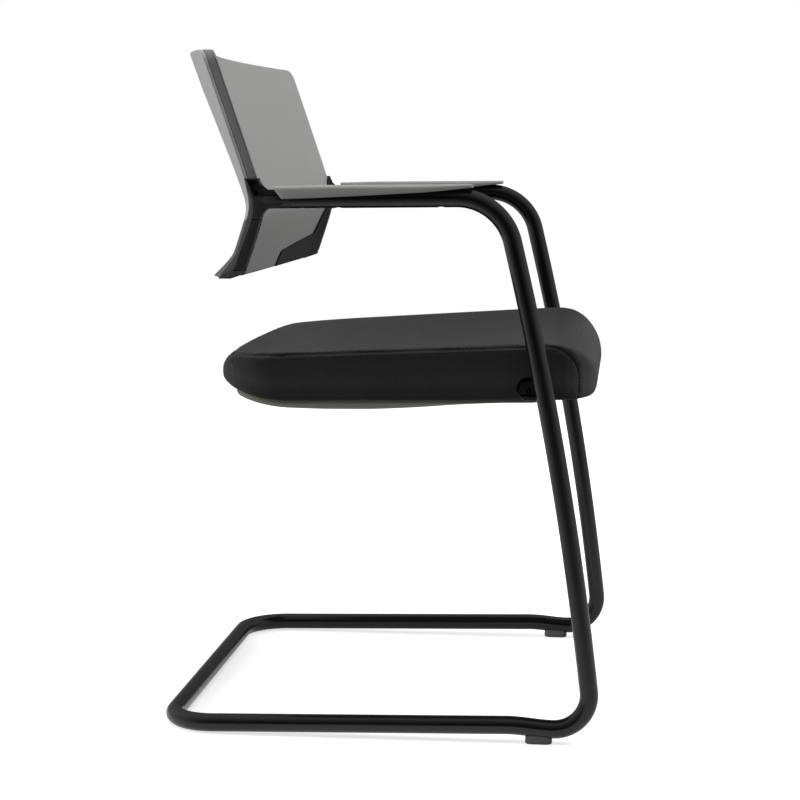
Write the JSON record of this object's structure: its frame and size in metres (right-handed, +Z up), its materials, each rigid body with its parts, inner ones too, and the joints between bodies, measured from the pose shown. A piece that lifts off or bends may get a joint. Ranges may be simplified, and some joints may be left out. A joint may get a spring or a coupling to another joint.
{
  "type": "sled_base_visitor_chair",
  "caption": "Sled base visitor chair: bent steel tube frame with arms, upholstered seat on a cross beam, and a curved plastic back held by side brackets.",
  "frame": {"origin": "on the floor under the middle of the base", "axes": "X runs across the chair, the sitter faces -Y, +Z is up"},
  "size_m": [0.5916, 0.5335, 0.8201],
  "materials": {
    "frame_paint": "satin black",
    "glide_plastic": "matt grey",
    "pad_plastic": "satin grey",
    "bracket_plastic": "satin black",
    "carrier_plastic": "matt charcoal",
    "panel_plastic": "matt light grey",
    "cover_plastic": "matt light grey",
    "slate_plastic": "matt slate grey",
    "strip_plastic": "matt mid grey",
    "plug_steel": "plain",
    "screw_zinc": "zinc plated",
    "screw_dark": "black oxide",
    "board_wood": "plywood",
    "seat_fabric": "black weave",
    "shell_plastic": "matt grey-beige"
  },
  "bodies": {
    "root": {"frame_tube": "frame_paint", "glide_left": "glide_plastic", "glide_right": "glide_plastic", "arm_pad_left": "pad_plastic", "arm_pad_right": "pad_plastic", "arm_pad_left_screw_1": "screw_zinc", "arm_pad_left_screw_2": "screw_zinc", "arm_pad_right_screw_1": "screw_zinc", "arm_pad_right_screw_2": "screw_zinc", "back_bracket_left": "bracket_plastic", "back_bracket_right": "bracket_plastic", "back_bracket_left_screw": "screw_dark", "back_bracket_right_screw": "screw_dark", "carrier_screw_left_1": "screw_dark", "carrier_screw_left_2": "screw_dark", "carrier_screw_right_1": "screw_dark", "carrier_screw_right_2": "screw_dark", "back_carrier": "carrier_plastic", "back_front_panel": "panel_plastic", "back_rear_cover": "cover_plastic", "back_lower_cover": "slate_plastic", "back_side_rail_left": "bracket_plastic", "back_side_rail_right": "bracket_plastic", "back_edge_strip_left": "strip_plastic", "back_edge_strip_right": "strip_plastic", "seat_lug_left": "frame_paint", "seat_lug_right": "frame_paint", "seat_lug_left_bolt": "screw_dark", "seat_lug_right_bolt": "screw_dark", "beam_plug_left": "plug_steel", "beam_plug_right": "plug_steel", "seat_cross_beam": "frame_paint", "seat_bar_left": "frame_paint", "seat_bar_right": "frame_paint", "board_screw_left_1": "screw_zinc", "board_screw_left_2": "screw_zinc", "board_screw_right_1": "screw_zinc", "board_screw_right_2": "screw_zinc", "seat_board": "board_wood", "seat_cushion": "seat_fabric", "seat_under_shell": "shell_plastic", "shell_screw_1": "screw_zinc", "shell_screw_2": "screw_zinc", "shell_screw_3": "screw_zinc", "shell_screw_4": "screw_zinc"}
  },
  "joints": []
}
